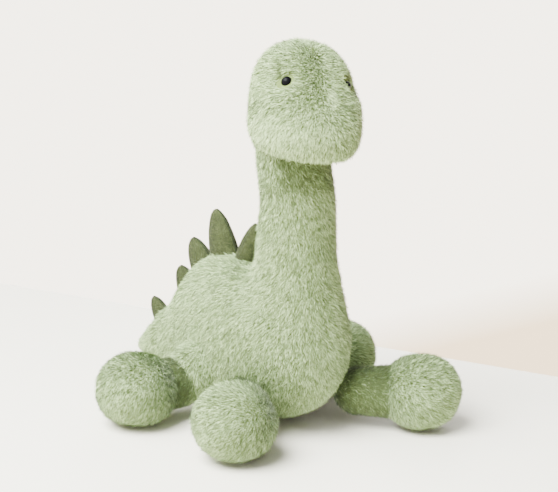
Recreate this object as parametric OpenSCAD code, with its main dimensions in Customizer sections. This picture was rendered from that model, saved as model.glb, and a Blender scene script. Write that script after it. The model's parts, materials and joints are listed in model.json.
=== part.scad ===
/* [Body] */
// Outer radius of the plush neck where it meets the body
neck_base_r = 34.5; // [33:0.5:36]
// Outer radius of the plush neck under the head
neck_top_r = 31.5; // [30:0.5:33]
// Largest half width of the belly
belly_half_w = 53; // [50:1:56]
// Height of the back under the tallest spike
hump_z = 135; // [132:1:138]
// Thickness of the plush fabric with its pile
plush_t = 4; // [3:0.5:5]
// Gap that stays open between two stuffed parts that move
joint_gap = 0.6; // [0.4:0.1:0.8]
/* [Head] */
// Height of the underside of the muzzle
head_bottom_z = 244; // [242:1:246]
// Height of the head from the underside to the crown
head_h = 94; // [91:1:96]
// Largest half width of the head
head_half_w = 45; // [43:1:48]
// Reach of the muzzle ahead of the neck's axis
muzzle_reach = 69; // [66:1:70]
// Turn of the head towards the right at rest, in degrees
head_yaw = 14; // [0:1:15]
// Tilt of the head towards the left at rest, in degrees
head_roll = 6; // [0:1:10]
// Lean of the upper neck towards the right at rest, in degrees
neck_lean = 5; // [0:1:6]
// Diameter of a safety eye
eye_d = 9; // [8:0.5:10]
// Height of the eyes
eye_z = 307; // [304:1:310]
/* [Legs] */
// Outer radius of a leg
leg_r = 22; // [20:0.5:23]
// Length from the hip pivot to the middle of the foot
leg_len = 61; // [58:1:64]
// Radius of a foot seen from above
foot_r = 37; // [35:0.5:38]
// Half height of a foot
foot_half_h = 33; // [31:0.5:34]
/* [Tail and spikes] */
// Outer radius of the tail where it leaves the body
tail_r = 33; // [31:0.5:34]
// Length of the tail from its pivot
tail_len = 77; // [74:1:78]
// Thickness of the spike felt
felt_t = 1.5; // [1:0.25:2]
// Half thickness of the tallest spike at its base
spike_half_t = 8; // [6:0.5:9]
/* [Seat] */
// Thickness of the flat seat panel
panel_t = 3; // [2:0.5:4]
// Half width of the seat panel
panel_half_w = 28; // [24:1:30]
/* [Hidden] */
SPIKES = [1, 2, 3, 4, 5];
LEGS = ["front_right", "front_left", "rear_right", "rear_left"];

// Where the neck's axis stands, which puts the origin under the middle of the whole toy.
neck_x = 3;
neck_y = -90.7;
// Gap between two pieces sewn or packed together in one body
sewn_gap = 0.4;
seam_gap = 0.1;
// Layer of loose fibre between the seat and the stuffing's core
seat_fibre_t = 4;
fabric = "DarkSeaGreen";
felt = "DarkOliveGreen";
filling = "WhiteSmoke";

// ---- Joints, in the neck's own coordinates (y = 0 on the neck's axis) ----
lean_z = 162;
sway_z = 202;
turn_z = 238;
nod_z = 246;
neck_lower_r = neck_base_r - 1;
dome_inset = plush_t + 3;
// Height that a socket's rim keeps above its pivot so that it can tilt
neck_rim = 11;
tail_tilt = 19;
tail_pivot = [203, 32.5];
tail_rim = 11;
tail_joint_len = 48;
hip_swing_in = 15;
leg_z = foot_half_h;
// Distance from an ankle's pivot to the middle of its foot
foot_ahead = 22;
ankle_len = leg_len - foot_ahead;
ankle_rim = 9.5;
ground_gap = 0.5;
// Sides of the blocks that cut shapes off, larger than any part they cut
cut_side = 120;

// A leg's row: hip pivot x, y and the direction it points in, in degrees from +X
LEG_ROWS = [[-41, 19, -131], [46, -17, -42], [-46, 89, 176], [41, 82, -11]];
function leg_row(name) = LEG_ROWS[search([name], LEGS)[0]];

// ---- Lofts ----
function along(points, s) =
    let (n = len(points) - 1, i = min(floor(s * n), n - 1), t = s * n - i,
         p0 = points[max(i - 1, 0)], p1 = points[i], p2 = points[i + 1], p3 = points[min(i + 2, n)])
    0.5 * (2 * p1 + (p2 - p0) * t + (2 * p0 - 5 * p1 + 4 * p2 - p3) * t * t
        + (3 * p1 - p0 - 3 * p2 + p3) * t * t * t);

// A solid through rings of equal length, closed by a strip of faces across each end ring.
module loft(rings) {
    n = len(rings[0]);
    k = len(rings);
    last = (k - 1) * n;
    walls = [
        for (i = [0 : k - 2], j = [0 : n - 1])
            let (a = i * n + j, b = i * n + (j + 1) % n)
            each [[a, b, b + n], [a, b + n, a + n]]
    ];
    function end_strip(o) = [
        for (j = [0 : n / 2 - 2])
            each [[o + j + 1, o + j, o + n - 1 - j], [o + j + 1, o + n - 1 - j, o + n - 2 - j]]
    ];
    function flip(faces) = [for (f = faces) [f[2], f[1], f[0]]];
    polyhedron([for (r = rings) each r], flip(concat(walls, end_strip(0), flip(end_strip(last)))));
}

// ---- Torso: sections from the neck's foot round the belly to the tail ----
// Each row: the back's y and z, the belly's y and z, and the half width.
TORSO = [
    [neck_base_r, lean_z, -neck_base_r, lean_z, neck_base_r],
    [neck_base_r + 1, lean_z - 9, -neck_base_r - 1, lean_z - 16, neck_base_r + 1],
    [neck_base_r + 5, hump_z + 8, -neck_base_r - 4, 124, 39],
    [49, hump_z, -42, 98, belly_half_w - 9],
    [62, hump_z - 1, -44, 75, belly_half_w - 3],
    [77, hump_z, -40, 54, belly_half_w],
    [93, hump_z + 1, -27, 35, belly_half_w + 1],
    [112, hump_z, -4, 18, belly_half_w + 1],
    [132, hump_z - 5, 30, 5, belly_half_w - 2],
    [151, hump_z - 16, 74, -4, belly_half_w - 7],
    [171, hump_z - 33, 120, -5, belly_half_w - 13],
    [192, hump_z - 55, 160, -1, belly_half_w - 18],
    [tail_pivot[0] + tail_r * sin(tail_tilt), tail_pivot[1] + tail_r * cos(tail_tilt),
     tail_pivot[0] - tail_r * sin(tail_tilt), tail_pivot[1] - tail_r * cos(tail_tilt), tail_r]
];
TORSO_RINGS = 32;
HALF_POINTS = 13;

// One point of a section: a is -90 at the belly's seam and 90 at the back's seam.
function section_point(row, a, inset, floor_z) =
    let (back = [row[0], row[1]], belly = [row[2], row[3]], mid = (back + belly) / 2,
         half = norm(back - belly) / 2, up = (back - belly) / (2 * half),
         c = mid + up * (half - inset) * sin(a))
    [(row[4] - inset) * cos(a), c[0], max(c[1], floor_z)];

function half_angles() = [for (j = [0 : HALF_POINTS - 1]) -90 + 180 * j / (HALF_POINTS - 1)];

function on_side(p, side) = [side * max(p[0], seam_gap), p[1], p[2]];
function reversed(list) = [for (i = [len(list) - 1 : -1 : 0]) list[i]];

// A ring shaped like a C: one half of a fabric casing in cross-section.
function casing_ring(outer, inner, side) =
    let (ring = concat([for (p = outer) on_side(p, side)], reversed([for (p = inner) on_side(p, side)])))
    side > 0 ? ring : reversed(ring);

function torso_arc(s, inset, floor_z) =
    let (row = along(TORSO, s))
    [for (a = half_angles()) section_point(row, a, inset, floor_z)];

function whole_ring(arc) =
    concat(arc, [for (i = [len(arc) - 1 : -1 : 0]) [-max(arc[i][0], seam_gap), arc[i][1], arc[i][2]]]);

// Rings of a ball's cap, from its equator to its pole, round a pivot in the plane x = 0.
function dome_rings(pivot, direction, r) = [
    for (k = [0 : 6])
        let (lat = 14.5 * k, c = pivot + direction * r * sin(lat), up = [-direction[1], direction[0]])
        whole_ring([for (a = half_angles())
            [r * cos(lat) * cos(a), c[0] + up[0] * r * cos(lat) * sin(a), c[1] + up[1] * r * cos(lat) * sin(a)]])
];

module place() { translate([neck_x, neck_y, 0]) children(); }

// What a leg sweeps as it swings about its hip.
sweep_len = 75;
module leg_sweep(grow) {
    for (row = LEG_ROWS) translate([row[0], row[1], leg_z]) {
        sphere(leg_r + grow + 0.6, $fn = 48);
        for (turn = [-1, 1]) rotate([0, 90, row[2] + turn * hip_swing_in])
            cylinder(h = sweep_len, r = leg_r + grow, $fn = 48);
        rotate([0, 0, row[2] - hip_swing_in]) rotate_extrude(angle = 2 * hip_swing_in, $fn = 48)
            translate([0, -leg_r - grow - 0.3]) square([sweep_len, 2 * (leg_r + grow + 0.3)]);
    }
}

module torso_casing(side) {
    floor_z = panel_t + seam_gap;
    color(fabric) place() difference() {
        loft([for (i = [0 : TORSO_RINGS]) casing_ring(
            torso_arc(i / TORSO_RINGS, 0, floor_z),
            torso_arc(i / TORSO_RINGS, plush_t, floor_z + plush_t), side)]);
        leg_sweep(joint_gap);
    }
}

module torso_stuffing() {
    inset = plush_t + 2 * sewn_gap;
    floor_z = panel_t + inset + seat_fibre_t;
    neck_dome = dome_rings([0, lean_z], [0, 1], neck_base_r - dome_inset);
    tail_dome = dome_rings(tail_pivot, [cos(tail_tilt), -sin(tail_tilt)], tail_r - dome_inset);
    body = [for (i = [0 : TORSO_RINGS]) whole_ring(torso_arc(i / TORSO_RINGS, inset, floor_z))];
    color(filling) place() difference() {
        loft(concat(reversed([for (r = neck_dome) flipped_ring(r)]), body, tail_dome));
        leg_sweep(joint_gap + 0.2);
        seat_bag_shape(sewn_gap);
    }
}

// A dome's ring turned to face the other way along its axis.
function flipped_ring(ring) = [for (p = ring) [p[0], -p[1], p[2]]];

module oval(half_w, half_l) {
    polygon([for (a = [0 : 10 : 350]) [half_w * cos(a), half_l * sin(a)]]);
}

seat_mid = 98;
seat_half_l = 60;
module seat_panel() {
    color(fabric) place() translate([0, seat_mid, 0])
        linear_extrude(panel_t) oval(panel_half_w, seat_half_l);
}

seat_bag_h = 18;
seat_bag_half_w = 13;
seat_bag_half_l = 45;
module seat_bag_shape(grow) {
    translate([0, seat_mid, panel_t + plush_t + 2 * sewn_gap - grow])
        linear_extrude(seat_bag_h + 2 * grow) oval(seat_bag_half_w + grow, seat_bag_half_l + grow);
}

module seat_pellet_bag() {
    color("LightGray") place() seat_bag_shape(0);
}

// ---- Spikes along the back ----
// Each row: base y and z, tip y and z, half width along the back, and half thickness.
SPIKE_ROWS = [
    [78, hump_z + 2.5, 61, hump_z + 38, 13, 7],
    [113, hump_z - 3, 128, hump_z + 41, 20, spike_half_t],
    [149, hump_z - 18, 167, hump_z + 6, 15, 7],
    [179, hump_z - 42, 189, hump_z - 25, 12, 6],
    [228, hump_z - 85, 246, hump_z - 71, 9, 5]
];
// Heights of a spike's rings as parts of its length: its outside, the hollow in it and the stuffing
FELT_OUTSIDE = [0.2, 0.4, 0.6, 0.78, 0.9, 0.97];
FELT_HOLLOW = [0.86, 0.7, 0.5, 0.25, 0.06];
SPIKE_FILLED = [0.18, 0.33, 0.48, 0.63, 0.78];

// A flat pointed pad whose two faces meet in seams on its front and back edges.
function spike_ring(row, t, inset) =
    let (base = [row[0], row[1]], tip = [row[2], row[3]], up = (tip - base) / norm(tip - base),
         across = [up[1], -up[0]], h = norm(tip - base), swell = pow(1 - pow(t, 1.35), 0.75),
         c = base + up * t * h)
    [for (j = [0 : 17]) let (a = 20 * j - 90,
        u = max(row[4] * swell - inset, 0.3) * cos(a), v = max(row[5] * swell - inset, 0.3) * sin(a))
        [v, c[0] + across[0] * u, c[1] + across[1] * u]];

module spike_felt(i) {
    row = SPIKE_ROWS[i - 1];
    color(felt) place() loft(concat(
        [for (t = FELT_HOLLOW) spike_ring(row, t, felt_t)],
        [spike_ring(row, 0, felt_t), spike_ring(row, 0, 0)],
        [for (t = FELT_OUTSIDE) spike_ring(row, t, 0)]));
}

module spike_stuffing(i) {
    row = SPIKE_ROWS[i - 1];
    color(filling) place() loft([for (t = SPIKE_FILLED) spike_ring(row, t, felt_t + 0.3)]);
}

// ---- Neck ----
// The taper of the neck between its foot and its top.
function neck_r(z) = neck_lower_r + (neck_top_r - neck_lower_r) * (z - lean_z) / (turn_z - lean_z);

module sleeve(r1, r2, t, h) {
    difference() {
        cylinder(h = h, r1 = r1, r2 = r2, $fn = 64);
        translate([0, 0, -1]) cylinder(h = h + 2, r1 = r1 - t, r2 = r2 - t, $fn = 64);
    }
}

// A core between two pivots, h apart: a socket round the lower one and a dome round the upper one.
// It starts at its rim, and a radius of 0 leaves the socket or the dome out.
module core(r1, r2, rim, h, socket_r, dome_r) {
    difference() {
        union() {
            translate([0, 0, rim]) cylinder(h = h - rim, r1 = r1, r2 = r2, $fn = 64);
            if (dome_r > 0) intersection() {
                translate([0, 0, h]) sphere(dome_r, $fn = 64);
                translate([-r1, -r1, h - 0.01]) cube([2 * r1, 2 * r1, dome_r + 1]);
            }
        }
        if (socket_r > 0) sphere(socket_r, $fn = 64);
    }
}

function dome_r(z) = (z == lean_z ? neck_base_r : neck_r(z)) - dome_inset;
skin = plush_t + sewn_gap;

module neck_casing(z1, z2, rim) {
    color(fabric) translate([0, 0, z1 + rim])
        sleeve(neck_r(z1 + rim), neck_r(z2), plush_t, z2 - z1 - rim);
}

module neck_lower_casing() { place() neck_casing(lean_z, sway_z, neck_rim); }
module neck_middle_casing() { leaning() neck_casing(sway_z, turn_z, neck_rim); }
module neck_upper_casing() { leaning() neck_casing(turn_z, nod_z, joint_gap); }

module neck_stuffing(z1, z2, rim, socket, dome) {
    color(filling) translate([0, 0, z1])
        core(neck_r(z1 + rim) - skin, neck_r(z2) - skin, rim, z2 - z1, socket, dome);
}

module neck_lower_stuffing() {
    place() neck_stuffing(lean_z, sway_z, neck_rim, dome_r(lean_z) + joint_gap, dome_r(sway_z));
}
module neck_middle_stuffing() {
    leaning() neck_stuffing(sway_z, turn_z, neck_rim, dome_r(sway_z) + joint_gap, 0);
}
module neck_upper_stuffing() {
    leaning() neck_stuffing(turn_z, nod_z, joint_gap, 0, dome_r(nod_z));
}

// ---- Head: level outlines from the underside to the crown ----
// Each row: height as a part of head_h, reach ahead, reach behind and half width as parts of their largest.
HEAD = [
    [0.00, 0.66, 0.45, 0.54], [0.025, 0.83, 0.66, 0.74], [0.09, 0.94, 0.82, 0.89], [0.20, 0.995, 0.94, 0.975],
    [0.33, 0.99, 1.00, 1.00], [0.46, 0.905, 1.01, 0.99], [0.58, 0.77, 1.00, 0.95], [0.70, 0.60, 0.96, 0.88],
    [0.81, 0.47, 0.87, 0.77], [0.905, 0.34, 0.70, 0.595], [0.97, 0.19, 0.46, 0.36], [1.00, 0.03, 0.20, 0.07]
];
HEAD_RINGS = 22;
head_rear = 42;

// A point of the head's surface: s climbs from 0 to 1, a is -90 at the face's seam and 90 behind.
function head_point(s, a, inset) =
    let (row = along(HEAD, s), front = muzzle_reach * row[1], rear = head_rear * row[2],
         mid = (rear - front) / 2, half = (rear + front) / 2 - inset, w = head_half_w * row[3] - inset,
         z = head_bottom_z + inset + (head_h - 2 * inset) * row[0])
    [max(w, 1) * pow(cos(a), 0.9), mid + max(half, 1) * sign(sin(a)) * pow(abs(sin(a)), 0.9), z];

function head_arc(s, inset) = [for (a = half_angles()) head_point(s, a, inset)];

// The upper neck leans at rest, and the head on it is turned and tilted.
module leaning() {
    place() translate([0, 0, sway_z]) rotate([0, -neck_lean, 0]) translate([0, 0, -sway_z]) children();
}
module turned() { leaning() rotate([0, 0, -head_yaw]) children(); }
module tilted() {
    turned() translate([0, 0, nod_z]) rotate([0, head_roll + neck_lean, 0]) translate([0, 0, -nod_z])
        children();
}

// What the neck sweeps inside the head as the head nods.
module neck_sweep() {
    r = neck_top_r + joint_gap;
    flare = 8;
    below = 20;
    above = 14;
    translate([0, 0, nod_z - below]) cylinder(h = below + 0.1, r1 = r + flare, r2 = r + 1, $fn = 64);
    intersection() {
        translate([0, 0, nod_z]) sphere(r + 1, $fn = 64);
        translate([-cut_side / 2, -cut_side / 2, nod_z - 1]) cube([cut_side, cut_side, above + 1]);
    }
    translate([0, 0, nod_z]) sphere(dome_r(nod_z) + joint_gap, $fn = 64);
}

module head_casing(side) {
    color(fabric) difference() {
        tilted() loft(reversed([for (i = [0 : HEAD_RINGS]) casing_ring(
            head_arc(i / HEAD_RINGS, 0), head_arc(i / HEAD_RINGS, plush_t), side)]));
        turned() neck_sweep();
        tilted() eye_hole(side);
    }
}

module head_stuffing() {
    color(filling) difference() {
        tilted() loft(reversed([for (i = [0 : HEAD_RINGS]) whole_ring(head_arc(i / HEAD_RINGS, skin))]));
        turned() neck_sweep();
        for (side = [-1, 1]) tilted() at_eye(side)
            translate([0, 0, -2 * washer_depth]) cylinder(h = 2 * washer_depth, r = washer_depth, $fn = 32);
    }
}

// ---- Eyes: a glossy dome on a stem, held by a washer inside the head ----
eye_half_gap = 27.7;
eye_y = -30.5;
eye_turn = 44;
eye_tilt = 66;
eye_dome_h = 3.6;
stem_r = 1.75;
// Depth of an eye's flat back in the pile
eye_sink = 2;
eye_play = 0.2;
stem_len = 11;
washer_depth = 7;
module at_eye(side) {
    translate([side * eye_half_gap, eye_y, eye_z]) rotate([0, 0, side * eye_turn])
        rotate([eye_tilt, 0, 0]) children();
}
module eye_hole(side) {
    at_eye(side) {
        translate([0, 0, -stem_len]) cylinder(h = stem_len, r = stem_r + eye_play, $fn = 32);
        translate([0, 0, -eye_sink]) cylinder(h = stem_len, r = eye_d / 2 + eye_play, $fn = 32);
    }
}
module eye(side) {
    color("Black") tilted() at_eye(side) {
        translate([0, 0, -eye_sink]) rotate_extrude($fn = 48)
            polygon(concat([[0, 0]], [for (a = [0 : 10 : 90]) [eye_d / 2 * cos(a), eye_dome_h * sin(a)]]));
        translate([0, 0, -stem_len]) cylinder(h = stem_len, r = stem_r, $fn = 32);
    }
}
module eye_washer(side) {
    color("White") tilted() at_eye(side) translate([0, 0, -washer_depth]) difference() {
        cylinder(h = 1.2, r = 6.5, $fn = 32);
        translate([0, 0, -1]) cylinder(h = 4, r = stem_r, $fn = 32);
    }
}

// ---- Tail ----
module at_tail(distance) {
    place() translate([0, tail_pivot[0], tail_pivot[1]]) rotate([-90 - tail_tilt, 0, 0])
        translate([0, 0, distance]) children();
}
tail_end_r = 6;
function cone_r(d) = tail_r + (tail_end_r - tail_r) * d / (tail_len - tail_end_r);
tip_rim = 5;
tip_dome_r = cone_r(tail_joint_len) - plush_t - 1;

module tail_base_casing() {
    h = tail_joint_len - tail_rim;
    color(fabric) at_tail(tail_rim) sleeve(cone_r(tail_rim), cone_r(tail_joint_len), plush_t, h);
}
module tail_base_stuffing() {
    color(filling) at_tail(0) core(cone_r(tail_rim) - skin, cone_r(tail_joint_len) - skin, tail_rim,
        tail_joint_len, tail_r - dome_inset + joint_gap, tip_dome_r);
}

// The rounded tip as a solid of revolution, inset evenly.
module tail_tip_shape(inset) {
    d = tail_joint_len + tip_rim;
    end_r = tail_end_r;
    ball_z = tail_len - tail_joint_len - end_r;
    rotate_extrude($fn = 48) polygon(concat(
        [[0, tip_rim], [cone_r(d) - inset, tip_rim]],
        [for (a = [15 : 15 : 75]) [(end_r - inset) * cos(a), ball_z + (end_r - inset) * sin(a)]],
        [[0, ball_z + end_r - inset]]));
}
module tail_tip_casing() {
    color(fabric) at_tail(tail_joint_len) difference() {
        tail_tip_shape(0);
        translate([0, 0, -0.5]) tail_tip_shape(plush_t - 1.5);
        sphere(tip_dome_r + joint_gap, $fn = 48);
    }
}
module tail_tip_stuffing() {
    color(filling) at_tail(tail_joint_len) difference() {
        tail_tip_shape(plush_t - 1);
        sphere(tip_dome_r + joint_gap, $fn = 48);
    }
}

// ---- Legs and feet ----
module at_hip(name) {
    row = leg_row(name);
    place() translate([row[0], row[1], leg_z]) rotate([0, 90, row[2]]) children();
}
ankle_dome_r = leg_r - skin - 1;

module leg_casing(name) {
    color(fabric) at_hip(name) translate([0, 0, seam_gap])
        sleeve(leg_r, leg_r, plush_t, ankle_len - seam_gap);
}
module leg_stuffing(name) {
    color(filling) at_hip(name) {
        intersection() {
            sphere(leg_r, $fn = 64);
            translate([-leg_r, -leg_r, -leg_r]) cube([2 * leg_r, 2 * leg_r, leg_r]);
        }
        translate([0, 0, -1]) core(leg_r - skin, leg_r - skin, 0, ankle_len + 1, 0, ankle_dome_r);
    }
}

// A foot is a fat cushion turned about the vertical; z = 0 is the ankle's pivot.
module foot_shape(inset) {
    h_max = foot_half_h - inset;
    r_max = foot_r - inset;
    translate([0, 0, leg_len - ankle_len]) rotate([0, -90, 0]) rotate_extrude($fn = 64) polygon(
        [for (a = [-90 : 10 : 90]) [r_max * pow(cos(a), 0.9), h_max * sign(a) * pow(abs(sin(a)), 0.95)]]);
}
module foot_cut(gap, inset) {
    half = cut_side / 2;
    translate([-half, -half, -half]) cube([cut_side, cut_side, half + ankle_rim]);
    rotate([0, -90, 0]) translate([-cut_side, -cut_side, -cut_side - leg_z + ground_gap + inset])
        cube([2 * cut_side, 2 * cut_side, cut_side]);
    sphere(ankle_dome_r + gap, $fn = 64);
}
module at_ankle(name) {
    at_hip(name) translate([0, 0, ankle_len]) children();
}
module foot_casing(name) {
    color(fabric) at_ankle(name) difference() {
        foot_shape(0);
        foot_shape(plush_t);
        foot_cut(joint_gap, 0);
    }
}
// Distance from an ankle's pivot to where the pellets start
pellet_plane = 40;
module foot_stuffing(name) {
    color(filling) at_ankle(name) difference() {
        foot_shape(skin);
        foot_cut(joint_gap, skin);
        translate([-cut_side / 2, -cut_side / 2, pellet_plane]) cube(cut_side);
    }
}
module foot_pellets(name) {
    half = cut_side / 2;
    color("LightGray") at_ankle(name) difference() {
        foot_shape(skin);
        translate([-half, -half, -half]) cube([cut_side, cut_side, half + pellet_plane + sewn_gap]);
        foot_cut(0, skin);
    }
}

torso_casing(1);  // torso_casing_left
torso_casing(-1);  // torso_casing_right
torso_stuffing();
seat_panel();
seat_pellet_bag();
for (i = SPIKES) {
    spike_felt(i);
    spike_stuffing(i);
}
neck_lower_casing();
neck_lower_stuffing();
neck_middle_casing();
neck_middle_stuffing();
neck_upper_casing();
neck_upper_stuffing();
head_stuffing();
for (side = [1, -1]) {
    name = side > 0 ? "left" : "right";
    head_casing(side);
    eye(side);
    eye_washer(side);
}
tail_base_casing();
tail_base_stuffing();
tail_tip_casing();
tail_tip_stuffing();
for (name = LEGS) {
    leg_casing(name);
    leg_stuffing(name);
    foot_casing(name);
    foot_stuffing(name);
    foot_pellets(name);
}
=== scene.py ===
import itertools
import json
import math

import bpy
import numpy as np
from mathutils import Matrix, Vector


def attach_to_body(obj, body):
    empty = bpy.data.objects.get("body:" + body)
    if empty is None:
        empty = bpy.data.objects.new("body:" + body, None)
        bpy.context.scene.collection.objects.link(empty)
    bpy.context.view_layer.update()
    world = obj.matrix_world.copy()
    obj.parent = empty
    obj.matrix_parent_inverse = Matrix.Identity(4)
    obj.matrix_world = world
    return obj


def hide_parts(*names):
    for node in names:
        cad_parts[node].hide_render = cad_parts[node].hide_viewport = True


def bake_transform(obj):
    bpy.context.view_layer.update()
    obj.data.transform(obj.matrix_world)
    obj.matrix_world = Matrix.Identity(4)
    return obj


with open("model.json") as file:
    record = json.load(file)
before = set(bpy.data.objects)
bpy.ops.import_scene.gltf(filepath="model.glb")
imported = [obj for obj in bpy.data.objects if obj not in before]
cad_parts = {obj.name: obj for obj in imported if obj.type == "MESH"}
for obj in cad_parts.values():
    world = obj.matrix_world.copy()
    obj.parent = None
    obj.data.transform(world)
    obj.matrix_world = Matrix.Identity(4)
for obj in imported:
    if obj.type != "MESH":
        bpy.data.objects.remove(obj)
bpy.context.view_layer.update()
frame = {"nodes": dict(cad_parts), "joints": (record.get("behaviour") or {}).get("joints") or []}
joints = {j["name"]: j for j in frame["joints"]}
rng = np.random.default_rng(7)
MM = 0.001

# ---------------------------------------------------------------- sizes in millimetres
# The joints and the lengths of the legs are the CAD's. The torso, head, tail and spikes are up to 5 mm off the
# CAD's outlines, to follow the toy's more closely.
NECK = np.array([3.0, -90.7, 0.0])
NECK_R0, NECK_R1 = 34.5, 31.5
LEAN_Z, SWAY_Z, TURN_Z, NOD_Z = 162.0, 202.0, 238.0, 246.0
NECK_LEAN, HEAD_YAW, HEAD_ROLL = 5.0, 14.0, 6.0
HEAD_Z, HEAD_H, HEAD_W, HEAD_REACH, HEAD_REAR = 244.0, 94.0, 45.0, 69.0, 42.0
TAIL_Y, TAIL_Z = 203.0, 32.5
TAIL_PIVOT = np.array([0.0, TAIL_Y, TAIL_Z])
TAIL_R, TAIL_END_R, TAIL_LEN, TAIL_TILT, TAIL_JOINT = 32.0, 6.0, 77.0, 19.0, 48.0
TAIL_ANGLE = math.radians(TAIL_TILT)
HUMP_Z = 135.0
LEG_R, LEG_LEN, ANKLE_LEN, FOOT_R, FOOT_H = 22.0, 61.0, 39.0, 37.0, 33.0

# How far the skins are drawn in from the CAD's surface, to leave room for the pile.
INSET = 3.6

# The torso from front to tail: y and z of the back, y and z of the belly, half width.
TORSO = np.array([
    [37.5, 162, -34.5, 162, 34.5], [40, 153, -35.5, 146, 35.5], [45, 144, -38.5, 124, 39],
    [52, 139, -42, 98, 44], [63, 138, -44, 75, 50], [77, 140, -41, 51, 54], [93, 141, -29, 32, 55.5],
    [112, 139, -5, 15, 55.5], [132, 132, 29, 4, 53], [150, 120, 74, -4, 46], [168, 102, 120, -5, 40],
    [187, 79, 160, -1, 35],
    [TAIL_Y + 31 * math.sin(TAIL_ANGLE), TAIL_Z + 31 * math.cos(TAIL_ANGLE),
     TAIL_Y - 33 * math.sin(TAIL_ANGLE), TAIL_Z - 33 * math.cos(TAIL_ANGLE), 33],
], float)
# The head from chin to crown, as shares of its height, front reach, rear reach and half width.
HEAD = np.array([
    [0.00, 0.70, 0.52, 0.58], [0.025, 0.86, 0.73, 0.79], [0.09, 0.96, 0.89, 0.93], [0.20, 1.005, 0.98, 1.0],
    [0.33, 0.99, 1.00, 1.00], [0.46, 0.905, 1.01, 0.99], [0.58, 0.78, 1.00, 0.96], [0.70, 0.64, 0.96, 0.90],
    [0.81, 0.52, 0.87, 0.81], [0.905, 0.39, 0.70, 0.64], [0.97, 0.23, 0.46, 0.41], [1.00, 0.03, 0.20, 0.07],
], float)
# Each back spike: y and z of its foot, y and z of its tip, half length, half thickness.
SPIKES = {
    1: [76, HUMP_Z + 2.5, 60, HUMP_Z + 38, 13, 7], 2: [111, HUMP_Z - 3, 127, HUMP_Z + 41, 20, 8],
    3: [149, HUMP_Z - 18, 168, HUMP_Z + 6, 16, 7], 4: [179, HUMP_Z - 42, 191, HUMP_Z - 26, 13, 6],
    5: [226, HUMP_Z - 84, 244, HUMP_Z - 69, 11, 5],
}
LEGS = ["front_right", "front_left", "rear_right", "rear_left"]


# ---------------------------------------------------------------- small helpers
def unit(v):
    return v / np.maximum(np.linalg.norm(v, axis=-1, keepdims=True), 1e-9)


def joint_place(name):
    return np.array(joints[name]["pos_m"]) / MM


def turned(points, axis, degrees, pivot):
    """Points turned about an axis through a pivot."""
    a = unit(np.asarray(axis, float))
    t = math.radians(degrees)
    p = points - pivot
    return pivot + p * math.cos(t) + np.cross(a, p) * math.sin(t) + np.outer(p @ a, a) * (1 - math.cos(t))


def leaning(points):
    return turned(points, (0, 1, 0), -NECK_LEAN, NECK + [0, 0, SWAY_Z])


def head_placed(points):
    """Head coordinates, with the neck's axis at x = y = 0, to the row frame."""
    p = turned(points, (0, 1, 0), HEAD_ROLL + NECK_LEAN, np.array([0, 0, NOD_Z]))
    p = turned(p, (0, 0, 1), -HEAD_YAW, np.zeros(3))
    return leaning(p + NECK)


def catmull(rows, s):
    """The smooth curve through rows, at s from 0 to 1."""
    n = len(rows) - 1
    i = min(int(s * n), n - 1)
    t = s * n - i
    p0, p1, p2, p3 = rows[max(i - 1, 0)], rows[i], rows[i + 1], rows[min(i + 2, n)]
    square = 2 * p0 - 5 * p1 + 4 * p2 - p3
    cube = 3 * p1 - p0 - 3 * p2 + p3
    return 0.5 * (2 * p1 + (p2 - p0) * t + square * t * t + cube * t ** 3)


def lattice(ix, iy, iz, seed):
    """A fixed value from -1 to 1 for each whole-numbered place."""
    h = (ix * 374761393 + iy * 668265263 + iz * 2147483647 + seed * 974711) & 0xFFFFFFFF
    h = ((h ^ (h >> 13)) * 1274126177) & 0xFFFFFFFF
    return ((h ^ (h >> 16)) & 0xFFFF) / 32767.5 - 1.0


def noise(points, scale, seed):
    """Smooth value noise from -1 to 1 at points, with features about as wide as scale."""
    q = points / scale
    base = np.floor(q).astype(np.int64)
    f = q - base
    f = f * f * (3 - 2 * f)
    shares = (1 - f, f)
    total = np.zeros(len(points))
    for dx, dy, dz in itertools.product((0, 1), repeat=3):
        share = shares[dx][:, 0] * shares[dy][:, 1] * shares[dz][:, 2]
        total += share * lattice(base[:, 0] + dx, base[:, 1] + dy, base[:, 2] + dz, seed)
    return total


def new_object(name, verts_mm, faces):
    mesh = bpy.data.meshes.new(name)
    mesh.from_pydata((np.asarray(verts_mm) * MM).tolist(), [], faces)
    mesh.update()
    obj = bpy.data.objects.new(name, mesh)
    bpy.context.scene.collection.objects.link(obj)
    return obj


def loft(name, rings):
    """A closed solid through rings with equal numbers of points."""
    n, k = len(rings[0]), len(rings)
    verts = np.concatenate([*rings, [rings[0].mean(0)], [rings[-1].mean(0)]])
    faces = [(i * n + j, i * n + (j + 1) % n, (i + 1) * n + (j + 1) % n, (i + 1) * n + j)
             for i in range(k - 1) for j in range(n)]
    faces += [(k * n, (j + 1) % n, j) for j in range(n)]
    faces += [(k * n + 1, (k - 1) * n + j, (k - 1) * n + (j + 1) % n) for j in range(n)]
    return new_object(name, verts, faces)


def arrays(obj):
    """Points in millimetres, normals and triangles of an object's mesh."""
    mesh = obj.data
    mesh.calc_loop_triangles()
    co = np.zeros(len(mesh.vertices) * 3)
    mesh.vertices.foreach_get("co", co)
    no = np.zeros(len(mesh.vertices) * 3)
    mesh.vertices.foreach_get("normal", no)
    tri = np.zeros(len(mesh.loop_triangles) * 3, np.int32)
    mesh.loop_triangles.foreach_get("vertices", tri)
    return co.reshape(-1, 3) / MM, no.reshape(-1, 3), tri.reshape(-1, 3)


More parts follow.
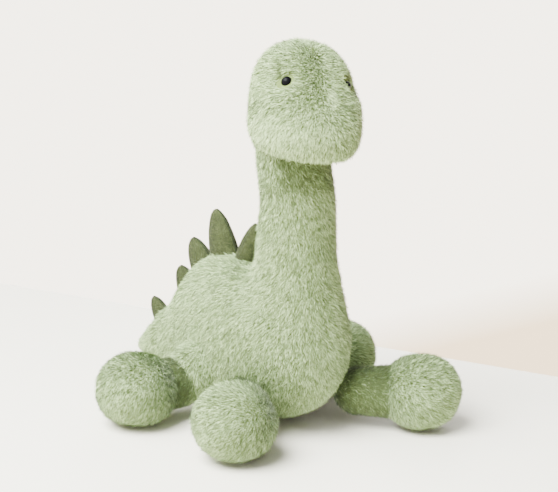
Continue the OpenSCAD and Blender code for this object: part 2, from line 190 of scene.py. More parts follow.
def fused(name, parts, voxel, smooth):
    """One closed surface round overlapping solids, with soft creases where they meet."""
    bpy.ops.object.select_all(action="DESELECT")
    for p in parts:
        p.select_set(True)
    bpy.context.view_layer.objects.active = parts[0]
    if len(parts) > 1:
        bpy.ops.object.join()
    obj = parts[0]
    obj.name = name
    remesh = obj.modifiers.new("remesh", "REMESH")
    remesh.mode = "VOXEL"
    remesh.voxel_size = voxel * MM
    soft = obj.modifiers.new("soft", "SMOOTH")
    soft.factor, soft.iterations = 0.5, smooth
    evaluated = obj.evaluated_get(bpy.context.evaluated_depsgraph_get())
    mesh = bpy.data.meshes.new_from_object(evaluated)
    obj.modifiers.clear()
    obj.data = mesh
    mesh.name = name
    return obj


def lumps(obj, height, scale, seed):
    """Pushes the surface in and out a little, as loose stuffing does."""
    co, no, _ = arrays(obj)
    co += no * (height * noise(co, scale, seed))[:, None]
    obj.data.vertices.foreach_set("co", (co * MM).ravel())
    obj.data.update()


def part_of(source, name, keep):
    """A new object from the faces of source whose middle passes keep(points)."""
    co, _, _ = arrays(source)
    faces = [tuple(p.vertices) for p in source.data.polygons]
    mids = np.array([co[list(f)].mean(0) for f in faces])
    chosen = [f for f, k in zip(faces, keep(mids)) if k]
    used = sorted({v for f in chosen for v in f})
    index = {v: i for i, v in enumerate(used)}
    piece = new_object(name, co[used], [tuple(index[v] for v in f) for f in chosen])
    for p in piece.data.polygons:
        p.use_smooth = True
    return piece


# ---------------------------------------------------------------- materials
def material(name, roughness, sheen=0.0):
    mat = bpy.data.materials.new(name)
    mat.use_nodes = True
    tree = mat.node_tree
    bsdf = tree.nodes["Principled BSDF"]
    bsdf.inputs["Roughness"].default_value = roughness
    bsdf.inputs["Specular IOR Level"].default_value = 0.25
    if sheen:
        bsdf.inputs["Sheen Weight"].default_value = sheen
        bsdf.inputs["Sheen Roughness"].default_value = 0.5
    return mat, tree, bsdf


def ramp(tree, source, stops):
    node = tree.nodes.new("ShaderNodeValToRGB")
    while len(node.color_ramp.elements) < len(stops):
        node.color_ramp.elements.new(0.5)
    for element, (place, colour) in zip(node.color_ramp.elements, stops):
        element.position = place
        element.color = (*colour, 1)
    tree.links.new(source, node.inputs[0])
    return node.outputs[0]


def mixed(tree, factor, a, b, mode="MIX"):
    node = tree.nodes.new("ShaderNodeMix")
    node.data_type = "RGBA"
    node.blend_type = mode
    for slot, value in ((node.inputs[0], factor), (node.inputs[6], a), (node.inputs[7], b)):
        if isinstance(value, (int, float)):
            slot.default_value = value
        elif isinstance(value, tuple):
            slot.default_value = (*value, 1)
        else:
            tree.links.new(value, slot)
    return node.outputs[2]


def fur_material(name, dark, middle, light, root):
    """Strand colour: OFBake's u picks the strand's shade and v runs from root to tip, with painted shade
    darkening each strand towards its root.
    """
    mat, tree, bsdf = material(name, 0.8, 0.15)
    uv = tree.nodes.new("ShaderNodeUVMap")
    uv.uv_map = "OFBake"
    split = tree.nodes.new("ShaderNodeSeparateXYZ")
    tree.links.new(uv.outputs[0], split.inputs[0])
    shade = ramp(tree, split.outputs[0], [(0.0, dark), (0.5, middle), (1.0, light)])
    root_painted_shade = ramp(tree, split.outputs[1], [(0.0, root), (0.5, (0.86, 0.86, 0.86)), (1.0, (1, 1, 1))])
    tree.links.new(mixed(tree, 1.0, shade, root_painted_shade, "MULTIPLY"), bsdf.inputs["Base Color"])
    return mat


def skin_material(name, low, high):
    """The woven backing under the pile, blotched and slightly bumpy."""
    mat, tree, bsdf = material(name, 0.9)
    place = tree.nodes.new("ShaderNodeTexCoord")
    broad = tree.nodes.new("ShaderNodeTexNoise")
    broad.inputs["Scale"].default_value = 180
    broad.inputs["Detail"].default_value = 4
    tree.links.new(place.outputs["Object"], broad.inputs["Vector"])
    tree.links.new(ramp(tree, broad.outputs[0], [(0.3, low), (0.7, high)]), bsdf.inputs["Base Color"])
    weave = tree.nodes.new("ShaderNodeTexNoise")
    weave.inputs["Scale"].default_value = 900
    tree.links.new(place.outputs["Object"], weave.inputs["Vector"])
    bump = tree.nodes.new("ShaderNodeBump")
    bump.inputs["Strength"].default_value = 0.4
    bump.inputs["Distance"].default_value = 0.0006
    tree.links.new(weave.outputs[0], bump.inputs["Height"])
    tree.links.new(bump.outputs[0], bsdf.inputs["Normal"])
    return mat


PLUSH_DARK, PLUSH_MID, PLUSH_LIGHT = (0.08, 0.11, 0.035), (0.22, 0.325, 0.12), (0.57, 0.73, 0.37)
fur_mat = fur_material("plush_fur", PLUSH_DARK, PLUSH_MID, PLUSH_LIGHT, (0.36, 0.38, 0.28))
skin_mat = skin_material("plush_backing", (0.10, 0.145, 0.04), (0.14, 0.19, 0.06))
felt_mat = skin_material("spike_felt_face", (0.024, 0.033, 0.009), (0.046, 0.060, 0.017))
FUZZ_DARK, FUZZ_MID, FUZZ_LIGHT = (0.012, 0.017, 0.004), (0.040, 0.052, 0.015), (0.15, 0.18, 0.07)
fuzz_mat = fur_material("spike_felt_fuzz", FUZZ_DARK, FUZZ_MID, FUZZ_LIGHT, (0.8, 0.8, 0.8))
thread_mat = skin_material("spike_thread", (0.010, 0.015, 0.004), (0.018, 0.025, 0.007))


# ---------------------------------------------------------------- fur
GRAIN = 1.15  # width of the finest changes in the pile's length and shade
FLOOR_GAP = 0.3  # no hair goes lower than this
ROOT_DEPTH = 0.6
GUARD_SHARE = 0.15  # share of hairs that are longer and stand up more


def strands(name, skin, density, length, half_width, flow, mat, lift, settle, spread, shade=None, bare=()):
    """Short flat hairs rooted all over skin but for its bare spots, lying along flow(points, normals)."""
    co, no, tri = arrays(skin)
    a, b, c = co[tri[:, 0]], co[tri[:, 1]], co[tri[:, 2]]
    area = np.linalg.norm(np.cross(b - a, c - a), axis=1) / 2
    count = int(area.sum() * density)
    pick = rng.choice(len(tri), count, p=area / area.sum())
    r1, r2 = np.sqrt(rng.random(count)), rng.random(count)
    w = np.stack([1 - r1, r1 * (1 - r2), r1 * r2], 1)[:, :, None]
    p = w[:, 0] * a[pick] + w[:, 1] * b[pick] + w[:, 2] * c[pick]
    n = unit(w[:, 0] * no[tri[pick, 0]] + w[:, 1] * no[tri[pick, 1]] + w[:, 2] * no[tri[pick, 2]])
    for spot, radius in bare:
        k = np.linalg.norm(p - spot, axis=1) > radius
        p, n = p[k], n[k]
    f, lie = flow(p, n)
    f = unit(f - (f * n).sum(1, keepdims=True) * n)
    side = np.cross(n, f)
    swing = 0.2 * noise(p, 2.6, 17) + 0.15 * noise(p, 8, 11) + 0.25 * noise(p, 28, 12)
    swing += spread * rng.standard_normal(len(p))
    f = unit(f * np.cos(swing)[:, None] + side * np.sin(swing)[:, None])
    guard = rng.random(len(p)) < GUARD_SHARE
    up = lift * (1 + 0.3 * noise(p, 7, 13) + 0.35 * guard) * lie
    d0 = unit(n * up[:, None] + f)
    d1 = unit(n * (settle * lie + 0.25 * guard)[:, None] + f + 0.2 * rng.standard_normal((len(p), 3)))
    size = 0.7 + 0.4 * rng.random(len(p)) + 0.12 * noise(p, GRAIN, 15) + 0.08 * noise(p, 6, 14) + 0.2 * guard
    size *= length
    root = p - ROOT_DEPTH * n
    mid = root + d0 * (0.5 * size)[:, None]
    tip = mid + d1 * (0.5 * size)[:, None]
    for spot, radius in bare:
        k = np.minimum(np.linalg.norm(tip - spot, axis=1), np.linalg.norm(mid - spot, axis=1)) > radius - 0.9
        p, n, root, mid, tip, d1 = p[k], n[k], root[k], mid[k], tip[k], d1[k]
    roll = 1.6 * (rng.random(len(p)) - 0.5)
    across = unit(np.cross(n, d1))
    flat = unit(across * np.cos(roll)[:, None] + np.cross(d1, across) * np.sin(roll)[:, None])
    flat *= np.where((np.cross(flat, d1) * n).sum(1, keepdims=True) < 0, -1.0, 1.0)
    half = half_width * (0.7 + 0.6 * rng.random(len(p)))
    root_half = flat * half[:, None]
    mid_half = flat * (0.9 * half)[:, None]
    verts = np.stack([root - root_half, root + root_half, mid + mid_half, mid - mid_half, tip], 1)
    verts[:, :, 2] = np.maximum(verts[:, :, 2], FLOOR_GAP)
    tone = 0.5 + 0.34 * rng.standard_normal(len(p)) + 0.32 * noise(p, GRAIN, 15) + 0.08 * noise(p, 22, 16)
    # shade(p, n) adds each piece's painted light and shade to the tone, and the nose's light tuft.
    if shade is not None:
        tone = tone + shade(p, n)
    tone = np.clip(tone, 0.02, 0.98)
    shown = unit(0.4 * n + 0.6 * unit(np.cross(flat, d1)))
    return strand_object(name, verts, shown, tone, mat)


def strand_object(name, verts, normals, tone, mat):
    """One mesh of all the hairs: a four-sided face from root to middle, then a triangle to the tip."""
    count = len(verts)
    mesh = bpy.data.meshes.new(name)
    mesh.vertices.add(count * 5)
    mesh.vertices.foreach_set("co", (verts * MM).astype(np.float32).ravel())
    base = np.arange(count, dtype=np.int32)[:, None] * 5
    corners = (base + np.array([0, 1, 2, 3, 3, 2, 4], np.int32)).ravel()
    mesh.loops.add(count * 7)
    mesh.loops.foreach_set("vertex_index", corners)
    mesh.polygons.add(count * 2)
    starts = (np.arange(count, dtype=np.int32)[:, None] * 7 + np.array([0, 4], np.int32)).ravel()
    mesh.polygons.foreach_set("loop_start", starts)
    uv = mesh.uv_layers.new(name="OFBake")
    v = np.tile(np.array([0, 0, 0.5, 0.5, 0.5, 0.5, 1.0]) * 0.96 + 0.02, count)
    u = np.repeat(tone, 7)
    uv.data.foreach_set("uv", np.stack([u, v], 1).astype(np.float32).ravel())
    mesh.update(calc_edges=True)
    mesh.validate()
    mesh.polygons.foreach_set("use_smooth", np.ones(len(mesh.polygons), bool))
    mesh.normals_split_custom_set_from_vertices(np.repeat(normals, 5, 0).astype(np.float32))
    mesh.materials.append(mat)
    obj = bpy.data.objects.new(name, mesh)
    bpy.context.scene.collection.objects.link(obj)
    return obj


# ---------------------------------------------------------------- skins
RING_POINTS = 56  # points round a ring of the torso or the head
CROWN_RISE = 2  # the head stands this much taller than the CAD's
TAIL_DIR = np.array([0, math.cos(TAIL_ANGLE), -math.sin(TAIL_ANGLE)])
SWAY_BEND = 12.0  # the neck bends over this height on each side of its sway joint
CUT_NECK, CUT_TOP, NECK_END = 182.0, 222.0, 262.0
CUT_REAR = NECK[1] + 150
HAUNCH_R, HAUNCH_RISE = 26.0, 5.0  # the swell of a thigh round each rear hip
LEG_SKIN_R, LEG_DROP, LEG_FLOOR = LEG_R - 1.8, 1.5, 1.5
# A leg's skin: distance out from the hip, radius.
LEG_PROFILE = [
    (-14, 6), (-11, 12), (-5, 17), (2, LEG_SKIN_R), (20, LEG_SKIN_R), (ANKLE_LEN, LEG_SKIN_R),
    (ANKLE_LEN + 8, LEG_R - INSET - 3),
]
FOOT_SHIFT = {"front_right": np.array([-2.2, 1.6, 1.0])}
SOCKET_DEPTH, SOCKET_REACH = 3.2, 8.0


def ball_rings(centre, radii, low_power=0.9, count=24, around=48):
    """A ball that is a little squarer than an ellipsoid; a lower low_power flattens its underside."""
    rings = []
    for k in range(1, count):
        lat = math.pi * k / count - math.pi / 2
        t = np.linspace(0, 2 * math.pi, around, endpoint=False)
        wide = math.cos(lat) ** (low_power if lat < 0 else 0.9)
        rings.append(np.stack([
            centre[0] + radii[0] * wide * np.cos(t), centre[1] + radii[1] * wide * np.sin(t),
            np.full(around, centre[2] + radii[2] * math.copysign(abs(math.sin(lat)) ** 0.95, lat))], 1))
    return rings


def tube_rings(stations, around=48):
    """Rings from rows of (centre, direction, radius)."""
    rings = []
    t = np.linspace(0, 2 * math.pi, around, endpoint=False)
    for centre, direction, radius in stations:
        d = unit(np.asarray(direction, float))
        x = unit(np.cross(d, [0.0, 0.0, 1.0]) if abs(d[2]) < 0.9 else np.cross([0.0, 1.0, 0.0], d))
        y = np.cross(d, x)
        rings.append(np.asarray(centre) + radius * (np.outer(np.cos(t), x) + np.outer(np.sin(t), y)))
    return rings


def torso_rings():
    """Oval rings through the torso's rows, kept clear of the floor."""
    rings = []
    a = np.linspace(0, 2 * math.pi, RING_POINTS, endpoint=False)
    for s in np.linspace(0, 1, 40):
        row = catmull(TORSO, s)
        back, belly = row[:2], row[2:4]
        half = np.linalg.norm(back - belly) / 2
        up = (back - belly) / (2 * half)
        mid = (back + belly) / 2
        y = mid[0] + up[0] * (half - INSET) * np.sin(a)
        z = mid[1] + up[1] * (half - INSET) * np.sin(a)
        rings.append(NECK + np.stack([(row[4] - INSET) * np.cos(a), y, np.maximum(z, INSET)], 1))
    return rings


def neck_radius(z):
    return NECK_R0 - 1 + (NECK_R1 - NECK_R0 + 1) * (z - LEAN_Z) / (TURN_Z - LEAN_Z)


def neck_offset(z):
    """How far the neck's axis has moved sideways at a height, bending softly round the sway joint."""
    slope = math.tan(math.radians(NECK_LEAN))
    risen = z - SWAY_Z + SWAY_BEND
    if risen <= 0:
        return 0.0
    if z < SWAY_Z + SWAY_BEND:
        return slope * 0.5 * risen * min(risen / (2 * SWAY_BEND), 1.0)
    return slope * (z - SWAY_Z)


def neck_rings():
    """Round rings up the neck: a little thicker at its foot, and a little nearer the cheek at its top."""
    rows = []
    for z in np.arange(146, 267, 6.0):
        p = NECK + [0, 0, z]
        p = p - [neck_offset(z), 0, 0]
        foot = min(max((205 - z) / 45, 0), 1)
        top = min(max((z - 205) / 30, 0), 1)
        p = p + [-1.2 * top, 2.0 * foot, 0]
        rows.append((p, (0, 0, 1), neck_radius(min(z, TURN_Z)) - INSET + 2.0 * foot + 0.8 * top))
    return tube_rings(rows)


def tail_point(distance):
    return NECK + TAIL_PIVOT + TAIL_DIR * distance


def tail_radius(distance):
    """The tail's taper, with a slight waist where it leaves the body."""
    slope = (TAIL_END_R - TAIL_R) / (TAIL_LEN - TAIL_END_R)
    waist = 3.5 * math.exp(-(((distance - 4) / 14) ** 2))
    return max(TAIL_R + slope * distance - INSET - waist, 2.0)


def tail_rings():
    rows = [(tail_point(d), TAIL_DIR, tail_radius(d)) for d in np.arange(-12, TAIL_LEN - TAIL_END_R, 4.0)]
    rows.append((tail_point(TAIL_LEN - INSET - 1), TAIL_DIR, 1.0))
    return tube_rings(rows)


def head_rings():
    """Rounded rings from chin to crown, turned and rolled as the head sits on the neck."""
    rings = []
    a = np.linspace(0, 2 * math.pi, RING_POINTS, endpoint=False)
    cos, sin = np.cos(a), np.sin(a)
    for s in np.linspace(0, 1, 30):
        row = catmull(HEAD, s)
        front, rear = HEAD_REACH * row[1], HEAD_REAR * row[2]
        mid, half = (rear - front) / 2, (rear + front) / 2 - INSET
        x = max(HEAD_W * row[3] - INSET, 1) * np.sign(cos) * np.abs(cos) ** 0.9
        y = mid + max(half, 1) * np.sign(sin) * np.abs(sin) ** 0.9
        z = np.full(len(a), HEAD_Z + INSET + (HEAD_H - 2 * INSET + CROWN_RISE) * row[0])
        rings.append(head_placed(np.stack([x, y, z], 1)))
    return rings


haunches = []
for leg in ("rear_left", "rear_right"):
    hip = joint_place("hip_swing_" + leg)
    swell = ball_rings(hip + [0, 0, HAUNCH_RISE], (HAUNCH_R, HAUNCH_R, HAUNCH_R))
    haunches.append(loft("haunch_loft", swell))
trunk = [
    loft("torso_loft", torso_rings()), loft("neck_loft", neck_rings()), loft("tail_loft", tail_rings()),
]
body = fused("body", trunk + haunches, 3.0, 8)
lumps(body, 0.8, 34, 21)


def in_front(p):
    return (p[:, 2] < CUT_NECK) & (p[:, 1] < CUT_REAR)


def beyond_tail(p):
    return (p - tail_point(30)) @ TAIL_DIR > 0


REGIONS = {
    "body_front_left": lambda p: in_front(p) & (p[:, 0] >= NECK[0]),
    "body_front_right": lambda p: in_front(p) & (p[:, 0] < NECK[0]),
    "body_rear": lambda p: (p[:, 1] >= CUT_REAR) & ~beyond_tail(p),
    "tail_end": lambda p: (p[:, 1] >= CUT_REAR) & beyond_tail(p),
    "neck": lambda p: (p[:, 2] >= CUT_NECK) & (p[:, 2] < CUT_TOP),
    "neck_top": lambda p: (p[:, 2] >= CUT_TOP) & (p[:, 2] < NECK_END),
}
pieces = {name: part_of(body, name, keep) for name, keep in REGIONS.items()}
bpy.data.objects.remove(body)

# The plug is the round top of the neck, which fills the bottom of the head.
plug = ball_rings(joint_place("head_nod") + [0, 0, 24], (35, 35, 35))
pieces["head"] = fused("head", [loft("head", head_rings()), loft("plug", plug)], 2.5, 6)
lumps(pieces["head"], 0.7, 26, 22)
limb_axes = {}
for leg in LEGS:
    hip = joint_place("hip_swing_" + leg)
    out = unit(joint_place("ankle_flex_" + leg) - hip)
    limb_axes[leg] = (hip, out)
    stations = [(hip + out * d - [0, 0, LEG_DROP], out, r) for d, r in LEG_PROFILE]
    tube = [np.maximum(ring, [-np.inf, -np.inf, LEG_FLOOR]) for ring in tube_rings(stations)]
    pieces["leg_" + leg] = fused("leg_" + leg, [loft("tube", tube)], 2.5, 4)
    middle = hip + out * LEG_LEN + FOOT_SHIFT.get(leg, 0)
    ball = loft("ball", ball_rings(middle, (FOOT_R - INSET, FOOT_R - INSET, FOOT_H - INSET), 0.78))
    pieces["foot_" + leg] = fused("foot_" + leg, [ball], 2.5, 2)
    lumps(pieces["foot_" + leg], 0.7, 20, 23 + len(limb_axes))

for piece in pieces.values():
    for polygon in piece.data.polygons:
        polygon.use_smooth = True
    piece.data.materials.append(skin_mat)


# ---------------------------------------------------------------- which way the pile lies
def body_flow(p, n):
    """Down and back over the body, with the pile pressed flat where a leg leaves it."""
    f = np.tile([0.0, 0.2, -1.0], (len(p), 1))
    high = p[:, 2] > 175
    f[:, 1] = np.where(high, -0.15, 0.2)
    f[:, 0] = 0.25 * high
    f[:, 0] += 0.2 * np.sign(p[:, 0] - NECK[0]) * (p[:, 2] < 150)
    near = np.min([np.linalg.norm(p - hip - 12 * out, axis=1) for hip, out in limb_axes.values()], axis=0)
    return f, np.clip((near - 18) / 16, 0.3, 1) * np.clip(p[:, 2] / 14, 0.15, 1)


def tail_flow(p, n):
    """Along the tail to its tip."""
    return np.tile(TAIL_DIR, (len(p), 1)) + np.array([0, 0, -0.3]), np.ones(len(p))


# The middle of each eye's outer face, and a shallow socket pressed into the head round it.
head_middle = head_placed(np.array([[0.0, 0.0, 300.0]]))[0]
eye_spots = []
for side in ("left", "right"):
    eye_co, _, _ = arrays(frame["nodes"]["eye_" + side])
    reach = np.linalg.norm(eye_co - head_middle, axis=1)
    eye_spots.append(eye_co[reach > reach.max() - 4].mean(0))

head_co, _, _ = arrays(pieces["head"])
for spot in eye_spots:
    pull = unit(head_middle - spot)
    near = np.exp(-((np.linalg.norm(head_co - spot, axis=1) / SOCKET_REACH) ** 2))
    head_co = head_co + pull * (SOCKET_DEPTH * near)[:, None]
pieces["head"].data.vertices.foreach_set("co", (head_co * MM).astype(np.float32).ravel())
pieces["head"].data.update()

nose = head_placed(np.array([[0.0, -HEAD_REACH + 4, 298.0]]))[0]
face_right = head_placed(np.array([[0.0, 0, 280.0], [1.0, 0, 280.0]]))
face_x = unit(face_right[1] - face_right[0])
face_mid = face_right[0]


def head_flow(p, n):
    """Away from the face's middle seam and down, and pressed flat round the eyes."""
    side = (p - face_mid) @ face_x
    outward = np.tanh(side / 9)[:, None] * face_x
    low = np.array([0, 0, -1.0]) + outward * 0.35
    high = outward * np.where(side > 0, 0.9, 0.4)[:, None] + np.array([0, 0.35, -0.75])
    share = np.clip((p[:, 2] - nose[2] + 12) / 24, 0, 1)[:, None]
    share = share * share * (3 - 2 * share)
    near = np.min([np.linalg.norm(p - e, axis=1) for e in eye_spots], axis=0)
    return low * (1 - share) + high * share, np.clip((near - 5) / 9, 0.1, 1)


def head_shade(p, n):
    """A light tuft on the nose, painted shade on the shadowed side of the brow and in the crease of a dart
    above each eye, and painted light on the near cheek.
    """
    side = (p - face_mid) @ face_x
    rise = p[:, 2] - nose[2]
    facing = n @ np.array([0, -1.0, 0]) > 0.2
    tuft = np.exp(-((rise / 8) ** 2) - ((side - 2) / 3) ** 2) * facing
    # Painted shade on the brow's shadowed side.
    brow = np.exp(-(((side + 9) / 8) ** 2)) * facing * np.clip((rise + 4) / 12, 0, 1)
    # Painted shadow in the crease of a dart above each eye.
    dart = np.zeros(len(p))
    for e in eye_spots:
        up = p[:, 2] - e[2]
        across = (p - e) @ face_x
        dart += np.exp(-((across / 1.4) ** 2)) * (up > 3) * (up < 14) * (np.linalg.norm(p - e, axis=1) < 18)
    # Painted light on the lower near cheek.
    cheek = np.exp(-(((rise + 26) / 14) ** 2)) * np.clip((6 - side) / 10, 0, 1)
    return 0.9 * tuft - 0.1 * brow - 0.6 * dart + 0.35 * cheek


def leg_flow(leg):
    """Outward and down along the leg, and pressed flat where it leaves the body."""
    hip, out = limb_axes[leg]
    return lambda p, n: (np.tile(out + [0, 0, -0.5], (len(p), 1)), np.clip((p - hip) @ out / 26, 0.25, 1))


def leg_shade(leg):
    """Painted shade: the front legs, in the body's shadow, are darker all over, and a rear leg darkens towards
    its foot, in the shaded crease behind it.
    """
    hip, out = limb_axes[leg]
    if leg.startswith("rear"):
        return lambda p, n: -0.2 - 0.45 * np.clip(((p - hip) @ out - 10) / 10, 0, 1)
    return lambda p, n: np.full(len(p), -0.6)


def neck_shade(p, n):
    """Painted shadow under the chin, darkening the front of the neck's top."""
    under_chin = np.clip((n @ np.array([0.4, -0.9, 0]) + 0.1) / 0.3, 0, 1)
    return -0.42 * np.clip((p[:, 2] - 210) / 15, 0, 1) * under_chin


def chest_shade(p, n):
    """Painted shade: the left of the chest grows a little darker towards its side, away from the light."""
    return -0.15 * np.clip((p[:, 0] - NECK[0] - 8) / 20, 0, 1)


FOOT_SWEEPS = {"front_right": np.array([-0.7, 0.2, -0.4]), "rear_right": np.array([-0.62, -0.3, -0.65])}


def foot_flow(leg):
    """Sideways and down all over the foot, and pressed flat on the floor and where the lie turns round."""
    sweep = FOOT_SWEEPS.get(leg, limb_axes[leg][1] + [0, 0, -0.5])
    across = unit(sweep)

    def flow(p, n):
        along_skin = np.linalg.norm(np.cross(n, across), axis=1)
        return np.tile(sweep, (len(p), 1)), np.clip(p[:, 2] / 14, 0.12, 1) * np.clip(along_skin / 0.7, 0.3, 1)

    return flow


# ---------------------------------------------------------------- bodies that each piece rides; each piece between two bodies lists them but stays where it is
def along(*offsets):
    return [tuple((o * MM).tolist()) for o in offsets]


BLENDS = {
    "body_front_left": ("torso", "neck_lower", *along(NECK + [0, 0, 150], NECK + [0, 0, 174])),
    "body_front_right": ("torso", "neck_lower", *along(NECK + [0, 0, 150], NECK + [0, 0, 174])),
    "body_rear": ("torso", "tail_base", *along(tail_point(-14), tail_point(14))),
    "tail_end": ("tail_base", "tail_tip", *along(tail_point(TAIL_JOINT - 9), tail_point(TAIL_JOINT + 9))),
    "neck": ("neck_lower", "neck_middle", *along(NECK + [0, 0, 190], NECK + [0, 0, 214])),
    "neck_top": ("neck_middle", "neck_upper", *along(NECK + [0, 0, 229], NECK + [0, 0, 245])),
}
RIDES = {"head": "head"}
for leg in LEGS:
    RIDES["leg_" + leg] = "leg_" + leg
    RIDES["foot_" + leg] = "foot_" + leg


def attach(obj, key):
    if key in BLENDS:
        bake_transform(obj)
    else:
        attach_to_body(obj, RIDES[key])


REPLACED = {
    "body_front_left": ["torso_casing_left", "torso_stuffing", "seat_pellet_bag", "neck_lower_stuffing"],
    "body_front_right": ["torso_casing_right", "seat_panel"],
    "body_rear": ["tail_base_casing", "tail_base_stuffing"],
    "tail_end": ["tail_tip_casing", "tail_tip_stuffing"],
    "neck": ["neck_lower_casing", "neck_middle_casing", "neck_middle_stuffing"],
    "neck_top": ["neck_upper_casing", "neck_upper_stuffing"],
    "head": ["head_casing_left", "head_casing_right", "head_stuffing", "eye_washer_left", "eye_washer_right"],
}
for leg in LEGS:
    REPLACED["leg_" + leg] = [f"leg_{leg}_casing", f"leg_{leg}_stuffing"]
    REPLACED["foot_" + leg] = [f"foot_{leg}_casing", f"foot_{leg}_stuffing", f"foot_{leg}_pellets"]

DENSITY = 2.7
HALF_WIDTH = 0.235
PILE_LENGTH = 6.3


def pile_of(name):
    """Which way a piece's pile lies, with its shading and the spots left bare."""
    if name == "head":
        bare = [(eye_spots[0], 9.6), (eye_spots[1] + 1.5 * face_x, 6.8)]
        return head_flow, {"shade": head_shade, "bare": bare}
    if name.startswith("leg_"):
        leg = name.removeprefix("leg_")
        return leg_flow(leg), {"shade": leg_shade(leg)}
    if name.startswith("foot_"):
        return foot_flow(name.removeprefix("foot_")), {}
    if name.startswith("neck"):
        return body_flow, {"shade": neck_shade}
    if name == "body_front_left":
        hip, out = limb_axes["front_left"]
        return body_flow, {"bare": [(hip + 4 * out, 25)], "shade": chest_shade}
    return (tail_flow if name == "tail_end" else body_flow), {}


for name, skin in pieces.items():
    flow, options = pile_of(name)
    fur = strands("fur_" + name, skin, DENSITY, PILE_LENGTH, HALF_WIDTH, flow, fur_mat,
                  lift=1.2, settle=0.45, spread=0.38, **options)
    for obj in (skin, fur):
        attach(obj, name)
    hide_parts(*REPLACED[name])


# ---------------------------------------------------------------- felt spikes
def spike_point(row, t, a, grow=0.0):
    """Points at share t of a spike's height and angle a round it."""
    base, tip = np.array(row[:2]), np.array(row[2:4])
    height = np.linalg.norm(tip - base)
    up = (tip - base) / height
    across = np.array([up[1], -up[0]])
    swell = np.maximum(1 - t ** 1.5, 0) ** 0.52
    c = base + up * np.reshape(t, (-1, 1)) * height
    u = (np.maximum(row[4] * swell, 0.9) + grow) * np.cos(a)
    v = (np.maximum((row[5] + 2) * swell, 0.7) + grow) * np.sin(a)
    yz = c + across * np.reshape(u, (-1, 1))
    return NECK + np.stack([v, yz[:, 0], yz[:, 1]], 1)


def spike_direction(row):
    return np.array([0.0, row[2] - row[0], row[3] - row[1]])


def spike_rings(row):
    """A pillow from a sunk foot to a small blunt tip."""
    around = np.linspace(0, 2 * math.pi, 40, endpoint=False)
    rings = [spike_point(row, np.zeros(40), around) - 5 * unit(spike_direction(row))]
    for t in np.linspace(0, 0.985, 26):
        rings.append(spike_point(row, np.full(40, t), around))
    tip = spike_point(row, np.full(40, 1.0), around)
    rings.append(tip * 0.5 + tip.mean(0) * 0.5)
    return rings


def seam_rings(row, angle):
    """A thin sewn cord up one edge of a spike, uneven as stitches are."""
    t = np.linspace(0.05, 0.99, 30)
    line = spike_point(row, t, np.full(len(t), angle), 0.15)
    directions = unit(np.gradient(line, axis=0))
    radii = [0.85 + 0.12 * math.sin(7.0 * k) for k in range(len(t))]
    return tube_rings(list(zip(line, directions, radii)), 8)


def spike_flow(row):
    """Towards the spike's tip."""
    return lambda p, n: (np.tile(unit(spike_direction(row)), (len(p), 1)), np.ones(len(p)))


for i, row in SPIKES.items():
    body_name = "tail_base" if i == 5 else "torso"
    felt = loft(f"spike_{i}", spike_rings(row))
    lumps(felt, 0.35, 7, 40 + i)
    for polygon in felt.data.polygons:
        polygon.use_smooth = True
    felt.data.materials.append(felt_mat)
    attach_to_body(felt, body_name)
    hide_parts(f"spike_{i}_felt", f"spike_{i}_stuffing")
    edges = [loft("edge", seam_rings(row, angle)) for angle in (0.0, math.pi)]
    seam = fused(f"spike_{i}_seam", edges, 0.5, 2)
    seam.data.materials.append(thread_mat)
    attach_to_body(seam, body_name)
    fuzz = strands(f"fuzz_spike_{i}", felt, 6.0, 1.5, 0.09, spike_flow(row), fuzz_mat,
                   lift=1.2, settle=0.7, spread=3.0)
    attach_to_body(fuzz, body_name)

# ---------------------------------------------------------------- eyes
eye_mat, _, eye_bsdf = material("eye_gloss", 0.3)
eye_bsdf.inputs["Base Color"].default_value = (0.003, 0.003, 0.004, 1)
eye_bsdf.inputs["Specular IOR Level"].default_value = 0.04
for side in ("left", "right"):
    node = frame["nodes"]["eye_" + side]
    node.data.materials.clear()
    node.data.materials.append(eye_mat)

# ---------------------------------------------------------------- stage, light, camera
AZ, EL, DIST = math.radians(-36), math.radians(13), 1.2
LENS, SENSOR = 85, 36
TARGET = Vector((0.0368, -0.0168, 0.1465))
back = Vector((math.sin(AZ) * math.cos(EL), -math.cos(AZ) * math.cos(EL), math.sin(EL)))
right = Vector((math.cos(AZ), math.sin(AZ), 0))
upward = back.cross(right)

# The table ends at a line through these two points, and the wall of the world shows past it.
far_left, far_right = Vector((0.00592, 0.53533, 0)), Vector((0.29525, -0.12724, 0))
edge = (far_right - far_left).normalized()
inward = Vector((edge.y, -edge.x, 0))
left_end, right_end = far_left - edge * 1.5, far_right + edge * 1.5
corners = [left_end, right_end, right_end + inward * 3, left_end + inward * 3]
floor = new_object("floor", np.array([(c.x, c.y, 0) for c in corners]) / MM, [(0, 1, 2, 3)])
floor_mat, _, floor_bsdf = material("floor_paint", 0.55)
floor_bsdf.inputs["Base Color"].default_value = (0.92, 0.88, 0.775, 1)
floor.data.materials.append(floor_mat)

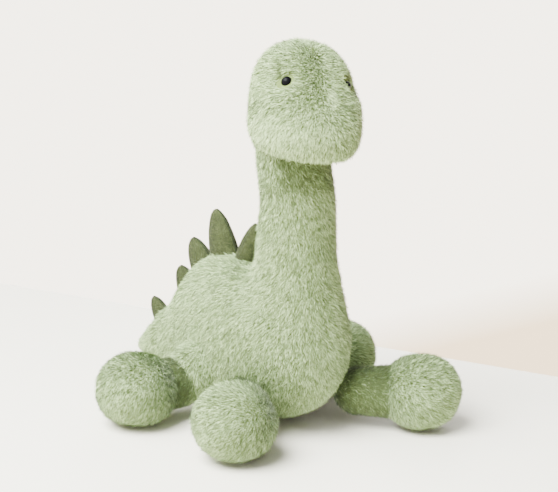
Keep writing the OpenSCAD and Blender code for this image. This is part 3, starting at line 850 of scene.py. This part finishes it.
world = bpy.data.worlds.new("studio")
bpy.context.scene.world = world
world.use_nodes = True
sky_tree = world.node_tree
sky = sky_tree.nodes["Background"]
sky.inputs[1].default_value = 5.5
where = sky_tree.nodes.new("ShaderNodeTexCoord")


def towards(direction):
    """How far a ray of the sky points along a direction."""
    node = sky_tree.nodes.new("ShaderNodeVectorMath")
    node.operation = "DOT_PRODUCT"
    node.inputs[1].default_value = direction
    sky_tree.links.new(where.outputs["Generated"], node.inputs[0])
    return node.outputs["Value"]


# Above the horizon is a dim room, brighter towards the key light. Below it is the wall, with a painted shadow
# that darkens and warms one corner.
ROOM = [(0.0, (0.035, 0.033, 0.029)), (1.0, (0.19, 0.19, 0.188))]
WALL_AND_PAINTED_SHADOW = [(0.28, (0.985, 0.905, 0.765)), (0.43, (0.65, 0.50, 0.32))]
room = ramp(sky_tree, towards((-0.78, -0.2, 0.59)), ROOM)
wall = ramp(sky_tree, towards(right - 4 * upward), WALL_AND_PAINTED_SHADOW)
above = ramp(sky_tree, towards((0, 0, 1)), [(0.0, (0, 0, 0)), (0.08, (1, 1, 1))])
sky_tree.links.new(mixed(sky_tree, above, wall, room), sky.inputs[0])


def area_light(name, place, size, power, colour):
    lamp = bpy.data.lights.new(name, "AREA")
    lamp.shape = "SQUARE"
    lamp.size = size
    lamp.energy = power
    lamp.color = colour
    obj = bpy.data.objects.new(name, lamp)
    bpy.context.scene.collection.objects.link(obj)
    obj.location = place
    obj.rotation_euler = (Vector((0, 0, 0.12)) - Vector(place)).to_track_quat("-Z", "Y").to_euler()


area_light("key", (-1.2, -0.25, 1.9), 1.4, 265, (0.97, 1.0, 0.96))
area_light("fill", (-0.9, -1.7, 0.9), 1.6, 6, (1.0, 1.0, 1.0))
area_light("top", (-0.9, 0.6, 1.6), 1.6, 60, (1.0, 1.0, 1.0))
area_light("behind", (1.3, 1.3, 0.9), 1.2, 30, (1.0, 0.98, 0.95))

camera = bpy.data.cameras.new("camera")
camera.lens, camera.sensor_width = LENS, SENSOR
camera_object = bpy.data.objects.new("camera", camera)
bpy.context.scene.collection.objects.link(camera_object)
camera_object.location = TARGET + back * DIST
camera_object.rotation_euler = (-back).to_track_quat("-Z", "Y").to_euler()
bpy.context.scene.camera = camera_object
